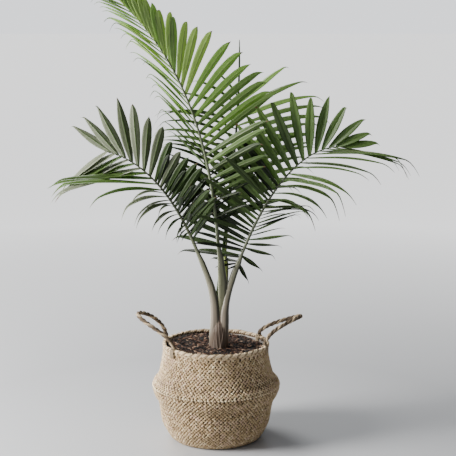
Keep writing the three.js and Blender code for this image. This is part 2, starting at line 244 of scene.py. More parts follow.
class Nodes:
    """A node tree: node() adds any node, and the named steps below are the ones used most."""

    def __init__(self, tree):
        self.tree = tree

    def put(self, socket, value):
        if isinstance(value, Wire):
            self.tree.links.new(value.socket, socket)
        elif socket.type == "RGBA" and len(value) == 3:
            socket.default_value = (*value, 1)
        else:
            socket.default_value = value

    def node(self, kind, *values, out=0, operation=None, **named):
        node = self.tree.nodes.new(kind)
        if operation:
            node.operation = operation
        for name, value in [*enumerate(values), *named.items()]:
            self.put(node.inputs[name], value)
        return Wire(self, node.outputs[out])

    def place(self, kind="Object"):
        return self.node("ShaderNodeTexCoord", out=kind)

    def axis(self, name, vector=None):
        return self.node("ShaderNodeSeparateXYZ", vector or self.place(), out=name)

    def stretched(self, upwards, turn=(0, 0, 0)):
        return self.node("ShaderNodeMapping", Vector=self.place(), Scale=(1, 1, upwards), Rotation=turn)

    def noise(self, scale, detail=3, vector=None, roughness=0.5):
        where = vector or self.place()
        return self.node("ShaderNodeTexNoise", Vector=where, Scale=scale, Detail=detail,
                         Roughness=roughness)

    def between(self, value, low, high, *ends):
        return self.node("ShaderNodeMapRange", value, low, high, *ends)

    def blend(self, share, first, second):
        node = self.tree.nodes.new("ShaderNodeMix")
        node.data_type = "RGBA"
        for number, value in ((0, share), (6, first), (7, second)):
            self.put(node.inputs[number], value)
        return Wire(self, node.outputs[2])

    def mottled(self, pattern, low, high, colour, dark, light):
        """Two shades of a colour, dealt out by a pattern."""
        return self.blend(self.between(pattern, low, high), shade(colour, dark), shade(colour, light))


class Finish(Nodes):
    """One material with its shader."""

    def __init__(self, name, roughness):
        self.material = bpy.data.materials.new(name)
        self.material.use_nodes = True
        super().__init__(self.material.node_tree)
        self.tree.nodes.clear()
        self.output = self.tree.nodes.new("ShaderNodeOutputMaterial")
        self.shader = self.tree.nodes.new("ShaderNodeBsdfPrincipled")
        self.tree.links.new(self.shader.outputs[0], self.output.inputs["Surface"])
        self.set("Roughness", roughness)

    def set(self, name, value):
        self.put(self.shader.inputs[name], value)

    def relief(self, height, distance, strength=1):
        bump = self.node("ShaderNodeBump", Height=height, Distance=distance, Strength=strength)
        self.set("Normal", bump)


def shade(colour, factor):
    return tuple(min(1, part * factor) for part in colour)


def dried_grass(name, colour):
    """Twisted grass: slanting fibres and patches of lighter and darker stem."""
    finish = Finish(name, 0.8)
    fibres = finish.noise(900, 2, finish.stretched(3, (0.6, 0.3, 0)))
    patches = finish.noise(38)
    tone = finish.mottled(fibres, 0.32, 0.68, colour, 0.66, 1.22)
    finish.set("Base Color", finish.blend(patches * 0.5, tone, shade(colour, 0.82)))
    finish.relief(fibres, 0.0006, 0.7)
    return finish.material


def loose_bark(name, colour):
    finish = Finish(name, 0.9)
    crumbs = finish.noise(420, 4, roughness=0.7)
    damp = finish.noise(26)
    tone = finish.mottled(crumbs, 0.35, 0.7, colour, 0.5, 1.5)
    finish.set("Base Color", finish.blend(finish.between(damp, 0.4, 0.65), tone, shade(colour, 0.55)))
    finish.relief(crumbs, 0.0012)
    return finish.material


def leaf_sheath():
    """Taupe, fibrous sheaths that turn brown at the foot."""
    finish = Finish("leaf_sheath", 0.62)
    fibres = finish.noise(230, 4, finish.stretched(0.045), 0.6)
    scurf = finish.noise(60, 5, finish.stretched(0.35), 0.65)
    pale = finish.blend(finish.between(fibres, 0.3, 0.7), (0.075, 0.05, 0.034), (0.18, 0.132, 0.094))
    blotched = finish.blend(finish.between(scurf, 0.52, 0.7), pale, (0.13, 0.095, 0.065))
    foot = finish.between(finish.axis("Z") + (scurf - 0.5) * 0.05, 0.315, 0.255)
    finish.set("Base Color", finish.blend(foot * 0.85, blotched, (0.06, 0.038, 0.025)))
    finish.set("Roughness", finish.between(scurf, 0.3, 0.8) * 0.25 + 0.5)
    finish.relief(fibres + scurf * 0.5, 0.0011, 0.8)
    return finish.material


def leaf_stalk(name, foot_colour, top_colour, crown_colour, painted_light_colour, painted_shade_from):
    """A stalk: greyish at its foot, green above and in a colour of its own in the crown, with dark dots.

    The crown colour is darker on the old and young stalks: painted shade. The left side has painted light, a
    pale strip, and the right side has painted shade, a dark strip. The last argument: where that painted
    shade sets in.
    """
    finish = Finish(name, 0.42)
    streaks = finish.noise(160, 3, finish.stretched(0.06))
    scurf = finish.noise(60, 5, finish.stretched(0.35), 0.65)
    dots = finish.node("ShaderNodeTexVoronoi", Vector=finish.stretched(0.6), Scale=95)
    height = finish.axis("Z")
    facing = finish.axis("X", finish.place("Normal"))
    specks = finish.between(dots, 0.16, 0.1) * finish.between(height, 0.56, 0.46)
    soiled = finish.between(height + (scurf - 0.5) * 0.05, 0.315, 0.262)
    grey = finish.mottled(streaks, 0.3, 0.7, foot_colour, 0.75, 1.2)
    green = finish.mottled(streaks, 0.3, 0.7, top_colour, 0.78, 1.2)
    colour = finish.blend(finish.between(height, 0.33, 0.52), grey, green)
    for share, over in (
        # In the crown: the crown colour, darker on the old and young stalks as painted shade.
        (finish.between(height, 0.5, 0.6) * 0.75, crown_colour),
        # Painted light: a pale strip on the left side, towards the window.
        (finish.between(facing, -0.86, -0.97) * 0.85, painted_light_colour),
        # Painted shade: a dark strip on the right side, away from the window.
        (finish.between(facing, *painted_shade_from) * 0.9, (0.028, 0.028, 0.014)),
        (specks * 0.8, (0.05, 0.04, 0.025)),
        (soiled * 0.8, (0.08, 0.05, 0.034)),
    ):
        colour = finish.blend(share, colour, over)
    finish.set("Base Color", colour)
    finish.relief(streaks, 0.0005, 0.6)
    return finish.material


def leaf_green(name, colour, glow):
    """A plain green with light that comes through the blade from behind."""
    finish = Finish(name, 0.4)
    finish.set("Base Color", colour)
    finish.set("Specular IOR Level", 0.28)
    veins = finish.noise(700, 2, finish.stretched(0.3))
    finish.relief(veins, 0.0002, 0.5)
    through = finish.node("ShaderNodeBsdfTranslucent", glow)
    both = finish.node("ShaderNodeMixShader", 0.34, Wire(finish, finish.shader.outputs[0]), through)
    finish.put(finish.output.inputs["Surface"], both)
    return finish.material


def grained(name, colour, roughness, scale, distance):
    """A plain colour with a fine grain. scale and distance: how fine and how deep the grain is."""
    finish = Finish(name, roughness)
    grain = finish.noise(scale, 4)
    finish.set("Base Color", finish.mottled(grain, 0.3, 0.7, colour, 0.85, 1.1))
    finish.relief(grain, distance)
    return finish.material


# ---- Mesh work ----
class Piece:
    """Skins gathered one by one, and joined into one mesh at the end."""

    def __init__(self, name, finishes):
        self.name = name
        self.finishes = finishes
        self.points = []
        self.faces = []
        self.tones = []
        self.count = 0

    def lay(self, rings, closed):
        """Take in rings of points, shape (..., rings, sides, 3), and number them and their quads."""
        at = self.count + np.arange(rings.size // 3).reshape(rings.shape[:-1])
        near = at if closed else at[..., :-1, :]
        far = np.roll(at, -1, -2) if closed else at[..., 1:, :]
        self.points.append(rings.reshape(-1, 3))
        self.count += rings.size // 3
        return at, np.stack([near, np.roll(near, -1, -1), np.roll(far, -1, -1), far], -1)

    def skin(self, rings, tone=0, closed=False):
        """Skin over rings of points, shape (rings, sides, 3). Its ends are capped unless it's closed."""
        at, quads = self.lay(np.asarray(rings, float), closed)
        tone = np.asarray(tone)
        tones = np.broadcast_to(tone[:, None] if tone.ndim == 1 else tone, quads.shape[:2])
        flat = self.points[-1] - self.points[-1].mean(0)
        a, b, c = (flat[quads[..., k].ravel() - at[0, 0]] for k in (0, 1, 2))
        outward = np.einsum("ij,ij->", a, np.cross(b, c)) > 0
        turn = slice(None) if outward else slice(None, None, -1)
        self.faces.append(quads.reshape(-1, 4)[:, turn])
        self.tones.append(tones.ravel())
        if not closed:
            self.faces += [at[:1, ::-1][:, turn], at[-1:, turn]]
            self.tones += [tones[0, :1], tones[-1, :1]]

    def scatter(self, rings, tones):
        """Many small skins at once, shape (count, rings, sides, 3), each in its own tone."""
        at, quads = self.lay(rings, False)
        self.faces += [quads.reshape(-1, 4), at[:, 0, ::-1], at[:, -1]]
        self.tones += [np.repeat(tones, quads[0, ..., 0].size), tones, tones]

    def make(self, replaced=(), smooth=True):
        mesh = bpy.data.meshes.new(self.name)
        faces = [face for some in self.faces for face in some.tolist()]
        mesh.from_pydata(np.concatenate(self.points), [], faces)
        mesh.polygons.foreach_set("material_index", np.concatenate(self.tones).astype(np.int32))
        mesh.polygons.foreach_set("use_smooth", np.full(len(faces), smooth))
        for finish in self.finishes:
            mesh.materials.append(finish)
        mesh.update()
        piece = bpy.data.objects.new(self.name, mesh)
        bpy.context.scene.collection.objects.link(piece)
        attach(piece, "root")
        if replaced:
            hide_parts(*replaced)


def unit(vectors):
    return vectors / np.linalg.norm(vectors, axis=-1, keepdims=True)


def even_turns(count, phase=0):
    """Angles in even steps round a full turn."""
    return 2 * math.pi * (np.arange(count) + phase) / count


def at_turn(radius, turn, height):
    """Points round the upright axis."""
    return np.stack([radius * np.cos(turn), radius * np.sin(turn), height + 0 * turn], -1)


def rings_round(line, across, out, wide, deep, angle):
    """Rings round a line: across and out are the section's directions, wide and deep its half sizes."""
    sideways = across[:, None] * (wide * np.cos(angle))[..., None]
    return line[:, None] + sideways + out[:, None] * (deep * np.sin(angle))[..., None]


def frames_along(line, reference=UP, closed=False):
    """Tangent, side and upper direction at each point of a line."""
    if closed:
        tangent = unit(np.roll(line, -1, 0) - np.roll(line, 1, 0))
    else:
        tangent = unit(np.gradient(line, axis=0))
    side = unit(np.cross(tangent, reference))
    return tangent, side, np.cross(side, tangent)


def run_along(line):
    """How far each point of a line is from its start."""
    return np.concatenate([[0], np.cumsum(np.linalg.norm(np.diff(line, axis=0), axis=1))])


def evened(line, count):
    """The same line in even steps."""
    run = run_along(line)
    even = np.linspace(0, run[-1], count)
    return np.stack([np.interp(even, run, column) for column in line.T], -1)


def smooth_line(points, count):
    """Even steps along a smooth curve through points."""
    points = np.asarray(points, float)
    ends = np.vstack([2 * points[0] - points[1], points, 2 * points[-1] - points[-2]])
    t = np.linspace(0, 1, 12, endpoint=False)[:, None]
    spans = []
    for a, b, c, d in zip(ends, ends[1:], ends[2:], ends[3:]):
        spans.append(b + (c - a) * t / 2 + (a - 2.5 * b + 2 * c - d / 2) * t**2
                     + (1.5 * (b - c) + (d - a) / 2) * t**3)
    return evened(np.vstack(spans + [points[-1:]]), count)


def along(values, t):
    """The value at a place between 0 and 1 in an even list."""
    return np.interp(t, np.linspace(0, 1, len(values)), values)


# ---- Basket ----
def uneven(turn, height):
    """How far the hand-woven wall strays from a true round, in metres."""
    return 0.0012 * np.sin(2 * turn + 9 * height) + 0.0008 * np.sin(5 * turn - 40 * height + 1)


def wall_point(turn, radius, height):
    """Points of the wall, which is truly round only at its foot."""
    return at_turn(radius + uneven(turn, height) * np.clip(height / 0.03, 0, 1), turn, height)


def weave():
    """Rows of short stitches that lean to the right and to the left in turn."""
    straws = [dried_grass(*grass) for grass in GRASSES.items()]
    rows = round(run_along(smooth_line(BASKET_OUTLINE, 300))[-1] / ROW_PITCH)
    profile = smooth_line(BASKET_OUTLINE, 2 * rows + 1)
    body = Piece("woven_body", straws)
    neck = Piece("woven_neck", straws)
    dice = np.random.default_rng(5)
    for row in range(rows):
        radius, height = profile[2 * row + 1]
        rise = unit(profile[2 * row + 2] - profile[2 * row])
        above_bright = (height - BRIGHT_ROW) / ROW_PITCH
        kind = "upper" if above_bright > 0 else "lower"
        if abs(above_bright) < 0.5:
            kind = "bright"
        elif -1.5 < above_bright <= -0.5 or row == rows - COLLAR_ROWS - 1:
            kind = "shaded"
        elif row >= rows - COLLAR_ROWS:
            kind = "collar"
            stitch_row(neck, dice, radius - WALL, height, -rise, row, kind)
        stitch_row(body if height < NECK_FROM else neck, dice, radius, height, rise, row, kind)
    body.make(["basket"])
    neck.make()


def stitch_row(piece, dice, radius, height, rise, row, kind):
    """One row of stitches. rise: the wall's direction there, out and up, or turned round for its inside."""
    share, lean, scale, sunk, tones = ROW_KINDS[kind]
    count = round(STITCHES * min(1, radius / FULL_RADIUS) * share)
    turn = 2 * math.pi * (np.arange(count) + dice.uniform(-0.1, 0.1, count) + 0.5 * (row % 2)) / count
    radial = at_turn(1, turn, 0)
    round_wall = np.cross(UP, radial)
    up_wall = radial * rise[0] + UP * rise[1]
    outward = radial * rise[1] - UP * rise[0]
    lean = (lean + dice.normal(0, 0.1, count)) * (1 if row % 2 else -1)
    ahead = up_wall * np.cos(lean)[:, None] + round_wall * np.sin(lean)[:, None]
    side = np.cross(outward, ahead)
    size = STITCH * scale * dice.uniform(*STITCH_SPREAD, (count, 3))
    sunk = sunk + dice.uniform(0, 0.0009, count)
    middle = wall_point(turn, np.full(count, radius), height) - outward * sunk[:, None]
    rings = []
    for step, wide, dip in STITCH_RINGS:
        centre = middle + ahead * (step * size[:, :1]) - outward * dip
        across, out = side * size[:, 1:2] * wide, outward * size[:, 2:] * wide
        rings.append([centre + way for way in (across, out, -across, -out)])
    rings = np.array(rings).transpose(2, 0, 1, 3)
    rings[..., 2] = np.maximum(rings[..., 2], BASKET_FLOOR)
    piece.scatter(rings, dice.choice(len(GRASSES), count, p=tones))


def inner_wall():
    """The ground behind the stitches, one turned shell with its floor. Its near-black brown is painted shade
    in the gaps between the stitches.
    """
    profile = smooth_line(BASKET_OUTLINE[2:], 60)
    under, top = GROUND_FLOOR
    outer = np.vstack([[0.0005, under], [0.06, under], profile - [BEHIND_STITCHES, 0]])
    outer[:, 1] = np.maximum(outer[:, 1], under)
    inner = np.maximum(outer[::-1] - [GROUND_THICKNESS, 0], [0.0002, top])
    turn = even_turns(96)
    rings = np.stack([wall_point(turn, radius, height) for radius, height in np.vstack([outer, inner])])
    # Near-black brown: painted shade where the gaps between the stitches show the ground.
    piece = Piece("inner_wall", [grained("ground_painted_shade", (0.064, 0.04, 0.022), 0.95, 300, 0.0008)])
    piece.skin(rings.transpose(1, 0, 2), closed=True)
    piece.make()


def twisted(piece, line, radius, pitch, tones, sides, closed=False):
    """Three strands twisted round a line. Each strand has three small lobes, as spun grass has."""
    tangent, side, upper = frames_along(line, closed=closed)
    run = run_along(line)
    turns = round(run[-1] / pitch) if closed else run[-1] / pitch
    twist = 2 * math.pi * turns * (np.arange(len(line)) / len(line) if closed else run / run[-1])
    angle = even_turns(sides)
    for strand, tone in enumerate(tones):
        phase = twist + 2 * math.pi * strand / len(tones)
        away = side * np.cos(phase)[:, None] + upper * np.sin(phase)[:, None]
        swollen = radius * (1 + 0.1 * np.cos(3 * angle[None] + 2.2 * phase[:, None]))
        middle = line + away * radius * 0.86
        piece.skin(rings_round(middle, away, np.cross(tangent, away), swollen, swollen, angle), tone, closed)


def rim():
    """A plaited edge: three strands that turn round each other along the rim."""
    straws = [dried_grass("rim_straw", (0.72, 0.57, 0.38)), dried_grass("rim_tan", (0.27, 0.19, 0.11))]
    turn = even_turns(760)
    sway = 0.0009 * np.sin(7 * turn) + 0.0006 * np.sin(17 * turn + 2)
    radius = RIM_RADIUS - 0.0034 + 0.0005 * np.sin(11 * turn)
    line = wall_point(turn, radius, BASKET_HEIGHT - 2 * RIM_STRAND + sway)
    piece = Piece("plaited_rim", straws)
    twisted(piece, line, RIM_STRAND, RIM_PITCH, [0, 1, 0], sides=7, closed=True)
    piece.make()


def lining():
    """The pale liner that shows above the soil, a little creased towards its edge."""
    turn = even_turns(180)
    crease = 0.0009 * np.sin(31 * turn) + 0.0007 * np.sin(13 * turn + 1)
    outside = [(LINER_RADIUS, height) for height in LINER_HEIGHTS]
    inside = [(LINER_RADIUS - LINER_THICKNESS, height) for height in reversed(LINER_HEIGHTS)]
    sheets = [wall_point(turn, radius + crease * (height - 0.22) / 0.03, height)
              for radius, height in outside + inside]
    piece = Piece("basket_lining", [grained("pale_liner", (0.25, 0.225, 0.2), 0.55, 120, 0.0015)])
    piece.skin(np.stack(sheets, 1), closed=True)
    piece.make()


# ---- Handles ----
def handle_line(turn, out, up, roll):
    """A loop that leans out from two upright feet, which go on down inside the wall."""
    outward = at_turn(1, math.radians(turn), 0)
    across = np.cross(UP, outward)
    foot_out = math.sqrt((RIM_RADIUS - WALL / 2) ** 2 - HANDLE_HALF_SPAN**2)
    t = np.linspace(0, 1, 150)
    reach = np.sin(math.pi * t)
    span = HANDLE_HALF_SPAN * np.cos(math.pi * t)
    line = outward * (foot_out + out * reach**2)[:, None] + across * span[:, None]
    line[:, 2] = BASKET_HEIGHT + HANDLE_GAP + (up + roll * np.cos(math.pi * t)) * reach
    drop = np.linspace(1, 0, 8, endpoint=False)[:, None] * FOOT_DROP
    inward = -unit(line[[0, -1]] * [1, 1, 0]) * 0.25
    return np.vstack([line[0] + (DOWN + inward[0]) * drop, line, line[-1] + (DOWN + inward[1]) * drop[::-1]])


def handles():
    """Both rope loops, and the thin grass that binds their feet."""
    straws = [dried_grass("rope_light", (0.42, 0.32, 0.2)), dried_grass("rope_dark", (0.1, 0.068, 0.038))]
    binding = Piece("handle_lashings", [straws[0], dried_grass("binding", (0.09, 0.065, 0.038))])
    for name, place in HANDLES.items():
        line = handle_line(**place)
        piece = Piece(f"rope_handle_{name}", straws)
        twisted(piece, line, ROPE_STRAND, ROPE_PITCH, [0, 1, 1], sides=10)
        piece.make([f"handle_{name}"])
        for foot in (line[8], line[-9]):
            lash(binding, foot)
    binding.make()


def lash(piece, foot):
    """Thin turns of grass that go over the rim and through the wall, beside one another."""
    radial = unit(foot * [1, 1, 0])
    across = np.cross(UP, radial)
    angle = even_turns(28)
    out, rise = (np.sign(way) * np.abs(way) ** 0.55 for way in (np.cos(angle), np.sin(angle)))
    for number in range(LASH_TURNS):
        shift = (number - LASH_TURNS // 2) * LASH_PITCH
        height = LASH_MIDDLE[1] + 0.001 * (number % 2)
        middle = radial * LASH_MIDDLE[0] + across * shift + UP * height
        line = middle + radial * (LASH_REACH[0] * out)[:, None] + UP * (LASH_REACH[1] * rise)[:, None]
        _, outward, _ = frames_along(line, across, closed=True)
        rings = rings_round(line, across[None], outward, *LASH_STRAND, even_turns(6, 0.5))
        piece.skin(rings, number % 2, closed=True)


# ---- Soil and stem ----
def mulch_height(x, y):
    """The mulch lies higher at the back left, where it was filled in, and is lumpy."""
    slope = 0.0078 * (-0.8 * x + 0.4 * y) / SOIL_RADIUS - 0.0022
    lumps = 0.0012 * np.sin(70 * x + 2) * np.sin(85 * y) + 0.0008 * np.sin(160 * x + 90 * y)
    return SOIL_LEVEL + slope + lumps


def mulch():
    """Loose bark: a lumpy bed with chips lying on it every way."""
    piece = Piece("bark_mulch", [loose_bark(*bark) for bark in BARKS.items()])
    turn = even_turns(120)
    rings = [at_turn(radius, turn, SOIL_UNDERSIDE) for radius in (SOIL_MIDDLE, SOIL_RADIUS - 0.006)]
    for radius in np.linspace(SOIL_RADIUS - 0.001, SOIL_MIDDLE, 48):
        x, y = radius * np.cos(turn), radius * np.sin(turn)
        rough = 0.0007 * np.sin(400 * x + 3 * np.sin(330 * y)) * np.cos(370 * y)
        rings.append(np.stack([x, y, mulch_height(x, y) + rough - 0.002], -1))
    piece.skin(np.stack(rings))
    dice = np.random.default_rng(11)
    radius = (SOIL_RADIUS - 0.006) * np.sqrt(dice.uniform(0, 1, CHIPS))
    bearing, heading = dice.uniform(0, 2 * math.pi, (2, CHIPS))
    x, y = radius * np.cos(bearing), radius * np.sin(bearing)
    middle = np.stack([x, y, mulch_height(x, y) + dice.uniform(-0.0015, 0.0018, CHIPS)], -1)
    ahead = unit(at_turn(1, heading, dice.uniform(-0.5, 0.5, CHIPS)))
    side = unit(np.cross(UP, ahead))
    over = np.cross(ahead, side)
    half = dice.uniform(*CHIP_SIZES, (CHIPS, 3))
    angle = even_turns(6)
    rings = []
    for step, share in CHIP_RINGS:
        rough = share * dice.uniform(0.7, 1.3, (CHIPS, 6))
        line = middle + ahead * half[:, :1] * step
        rings.append(rings_round(line, side, over, half[:, 1:2] * rough, half[:, 2:] * rough, angle))
    piece.scatter(np.stack(rings, 1), dice.choice(len(BARKS), CHIPS, p=BARK_SHARES))
    piece.make(["potting_soil"], smooth=False)


def stem():
    """The foot of the stem: old sheaths, brown and fibrous, that the stalks' feet stand out of."""
    turn = even_turns(180)
    rings = []
    for z in np.linspace(STEM_FOOT, STEM_TOP, 90):
        narrow = 1 - 0.5 * np.clip((z - STEM_WAIST) / (STEM_TOP - STEM_WAIST), 0, 1) ** 1.5
        flare = 0.0022 * math.exp(-max(0, z - SOIL_LEVEL) / 0.012)
        more = flare + 0.0004 * np.sin(19 * turn + 60 * z) + 0.0003 * np.sin(43 * turn - 90 * z)
        for bearing, lean, step in SHEATH_MARGINS:
            past = np.mod(turn - bearing - lean * (z - 0.28), 2 * math.pi)
            more = more + step * np.exp(-past / 0.8) * np.clip(past / 0.05, 0, 1)
        x = STEM_MIDDLE + (STEM_HALF[0] * narrow + more) * np.cos(turn)
        y = (STEM_HALF[1] * narrow + more) * np.sin(turn)
        rings.append(np.stack([x, y, z + 0 * turn], -1))
    piece = Piece("sheathed_stem", [leaf_sheath()])
    piece.skin(np.stack(rings))
    piece.make(["stem"])


# ---- Fronds ----
class Limb:
    """A cubic path, with the frond's own directions along it."""

    def __init__(self, points):
        self.points = np.array(points, float) / 1000

    def at(self, t):
        a, b, c, d = self.points
        t = np.asarray(t)[..., None]
        return a * (1 - t) ** 3 + 3 * b * t * (1 - t) ** 2 + 3 * c * t * t * (1 - t) + d * t**3

    def heading(self, t):
        a, b, c, d = self.points
        t = np.asarray(t)[..., None]
        return unit((b - a) * (1 - t) ** 2 + 2 * (c - b) * t * (1 - t) + (d - c) * t * t)

    def length(self):
        return run_along(self.at(np.linspace(0, 1, 201)))[-1]

    def spaced(self):
        """Points along the whole path."""
        return evened(self.at(np.linspace(0, 1, 201)), math.ceil(self.length() / SPOT_PITCH) + 1)

    def directions(self, t):
        """Along the limb, towards the front, and to the right."""
        tangent = self.heading(t)
        face = unit(FRONT - tangent * (FRONT @ tangent))
        return tangent, face, np.cross(tangent, face)


def jitter(seed):
    """A number between -1 and 1 that a seed always gives."""
    wave = math.sin(seed * 12.9898 + 4.1414) * 43758.5453
    return 2 * (wave - math.floor(wave)) - 1


def turned(vector, axis, angle):
    return vector * math.cos(angle) + np.cross(axis, vector) * math.sin(angle)


class Blade:
    """A leaflet's midrib and its tilt. at() gives its middle, across and upper directions."""

    def __init__(self, root, direction, rib, length, droop, twist):
        self.root, self.direction, self.rib = root, direction, rib
        self.length, self.droop, self.twist = length, droop, twist
        self.width = min(LEAFLET_WIDTH, SLIM_WIDTH + WIDTH_PER_LENGTH * length)

    def at(self, s):
        ahead = unit(self.direction + DOWN * 3 * self.droop * s * s)
        across = unit(self.rib - ahead * (self.rib @ ahead))
        across = turned(across, ahead, self.twist)
        middle = self.root + self.direction * self.length * s + DOWN * self.length * self.droop * s**3
        return middle, ahead, across, unit(np.cross(ahead, across))

    def coarse_points(self):
        """Points along the midrib and both edges of the CAD's own, simpler blade."""
        lines = [[], [], []]
        for s, share in zip(BLADE_STEPS, BLADE_WIDTHS):
            middle, _, across, up = self.at(s)
            half = self.width * share / 2
            drop = up * -FOLD * half * 2
            thick = max(0.0022, self.length / 85)
            lines[0].append(middle + across * half + drop)
            lines[1].append(middle + up * thick / 2)
            lines[2].append(middle - across * half + drop)
        points = []
        for line in lines:
            line.append(self.at(1)[0])
            for a, b in zip(line, line[1:]):
                count = math.ceil(np.linalg.norm(a - b) / SPOT_PITCH)
                points += [a + (b - a) * k / count for k in range(count)]
        return np.array(points)


# Room that limbs and blades have taken: its owner, points, and how far it reaches round them.
TAKEN = []


def is_free(owner, points, radius):
    """Whether a blade fits there without growing through another frond."""
    low, high = points.min(0), points.max(0)
    for other, spots, reach in TAKEN:
        near = reach + radius
        if other == owner or (spots.min(0) > high + near).any() or (spots.max(0) < low - near).any():
            continue
        if (np.linalg.norm(points[:, None] - spots[None], axis=2) < near).any():
            return False
    return True


def grow(name, limb, side, index, w, inner):
    """One leaflet by the rule, its swing steered a little where another frond is in the way.

    inner: 0 for the frond's own leaflets, 1 for the smaller ones between them, 2 for the deepest.
    """
    frond = FRONDS[name]
    rule = frond[side]
    t = frond["leaf_from"] + (1 - frond["leaf_from"]) * w
    tangent, face, rightward = limb.directions(t)
    sign = 1 if side == "right" else -1
    seed = index * 7 + len(name) * 31 + (3 if side == "right" else 5) + 500 * inner
    angle = math.radians(along(rule["angle"], w) + 3 * jitter(seed))
    length = along(rule["length"], w) / 1000 * (1 + 0.05 * jitter(seed + 101))
    droop = along(rule["droop"], w) * (1 + 0.25 * jitter(seed + 202))
    twist = math.radians(along(rule["slat"], w)) * sign
    clearance = CLEARANCE
    sway = 0
    if inner:
        length *= INNER_SHARE["length"] * (1 + 0.12 * jitter(seed + 909))
        droop += 0.03
        clearance = INNER_SHARE["clearance"]
        sway = INNER_SHARE["swing"] * (1 if index % 2 else -1) * (3 * inner - 2)
    for steer in STEERS:
        swing = math.radians(along(rule["swing"], w) + 3 * jitter(seed + 303) + steer + sway)
        sideways = rightward * sign * math.cos(swing) + face * math.sin(swing)
        direction = tangent * math.cos(angle) + sideways * math.sin(angle)
        blade = Blade(limb.at(t), direction, tangent, length, droop, twist)
        points = blade.coarse_points()
        if is_free(name, points, clearance):
            TAKEN.append((name, points, max(clearance, 0.0015)))
            blade.width *= along(rule.get("breadth", [1, 1]), w) * (INNER_SHARE["width"] if inner else 1)
            return blade
    return None


def low_leaflet(limb, t, tip, droop, width):
    """A leaflet from a place on the rib to a tip, as its droop takes it there."""
    root = limb.at(t)
    reach = np.array(tip) - root
    length = np.linalg.norm(reach)
    blade = Blade(root, unit(reach + UP * length * droop), limb.heading(t), length, droop, 0.4)
    blade.width = width
    return blade


LEAF_STEPS = np.array([0, 0.04, 0.09, 0.15, 0.22, 0.3, 0.38, 0.46, 0.54, 0.62, 0.69, 0.76, 0.82, 0.87,
                       0.91, 0.945, 0.97, 0.985, 1])
# Share of the full width along a blade: oar-shaped with a blunt end, or lance-shaped with a long point.
OAR = ([0, 0.1, 0.3, 0.55, 0.75, 0.87, 0.94, 0.975, 1],
       [0.28, 0.46, 0.76, 1, 0.95, 0.66, 0.3, 0.1, 0.02])
LANCE = ([0, 0.1, 0.28, 0.45, 0.62, 0.78, 0.88, 1], [0.28, 0.56, 0.92, 1, 0.78, 0.42, 0.16, 0.03])
# Across a blade from edge to edge, with a raised midrib and a pleat on each side.
PLEATS = np.array([-1, -0.68, -0.36, -0.09, 0, 0.09, 0.36, 0.68, 1])
PLEAT_HEIGHTS = np.array([0, 0.02, -0.014, 0, 0.034, 0, -0.014, 0.02, 0])
BLADE_THICKNESS = 0.0007
REACH_SHARE = 0.995  # how far along its path a blade goes, to stay within the CAD's
RIB_STEPS = 11  # steps from the foot on which the midrib shows in its own colour
TIP_STEPS = 3


def fine_blade(piece, blade, point, seed, tone, rib_tone, tip_tone):
    """A folded, pleated blade that narrows quickly to a thread-like, hooked tip."""
    hook = (0.03 + 0.05 * point) * (1 + 0.8 * jitter(seed + 404))
    ripple = 2 * math.pi * jitter(seed + 505)
    fold = 0.15 + 0.05 * jitter(seed + 606)
    rings = []
    for s in LEAF_STEPS:
        middle, ahead, across, up = blade.at(REACH_SHARE * s)
        share = np.interp(s, *OAR) * (1 - point) + np.interp(s, *LANCE) * point
        half = blade.width * share / 2
        curl = max(0, (s - 0.86) / 0.14)
        middle = middle + DOWN * hook * blade.length * curl**2
        across = turned(across, ahead, math.radians(5 * math.sin(5 * s + ripple)))
        up = np.cross(ahead, across)
        lift = (PLEAT_HEIGHTS - fold * np.abs(PLEATS)) * half * 2
        thick = BLADE_THICKNESS * (1 - 0.6 * np.abs(PLEATS)) * min(1, half / 0.004)
        flat = middle + across * (PLEATS * half)[:, None]
        top = flat + up * (lift + thick / 2)[:, None]
        under = flat + up * (lift - thick)[:, None]
        rings.append(np.vstack([top, under[::-1]]))
    tones = np.full((len(rings) - 1, len(rings[0])), tone)
    tones[:RIB_STEPS, 3:5] = rib_tone
    if tip_tone is not None:
        tones[-TIP_STEPS:] = tip_tone
    piece.skin(np.stack(rings), tones)


def leaflet_places(name, limb, inner):
    """Side, number and place of every leaflet of a frond, in the order in which they grow."""
    leafy = limb.length() * (1 - FRONDS[name]["leaf_from"])
    count = round(leafy / LEAFLET_SPACING)
    first = FIRST_LEAFLET / leafy
    shift = (0, 0.5, 0.25)[inner]
    for index in range(INNER_FIRST if inner else 0, count):
        for half, side in enumerate(("right", "left")):
            w = first + (1 - first) * (index + 0.5 * half + shift) / count
            low, high = FRONDS[name][side]["inner"][inner - 1]
            if low <= w <= high or not inner:
                yield side, index, w


def leaflets(limbs):
    """Every frond's leaflets by the rule, then the inner ones wherever room is left."""
    grown = {name: [] for name in limbs}
    for inner in (0, 1, 2):
        for name, limb in limbs.items():
            for side, index, w in leaflet_places(name, limb, inner):
                blade = grow(name, limb, side, index, w, inner)
                if blade is not None:
                    grown[name].append((blade, side, index + INNER_STEP * inner, w))
    for number, place in enumerate(LOW_LEAFLETS):
        grown["right"].append((low_leaflet(limbs["right"], *place), "left", LOW_NUMBER + number, 0))
    for name, blades in grown.items():
        dress(name, blades, PALETTES[name])


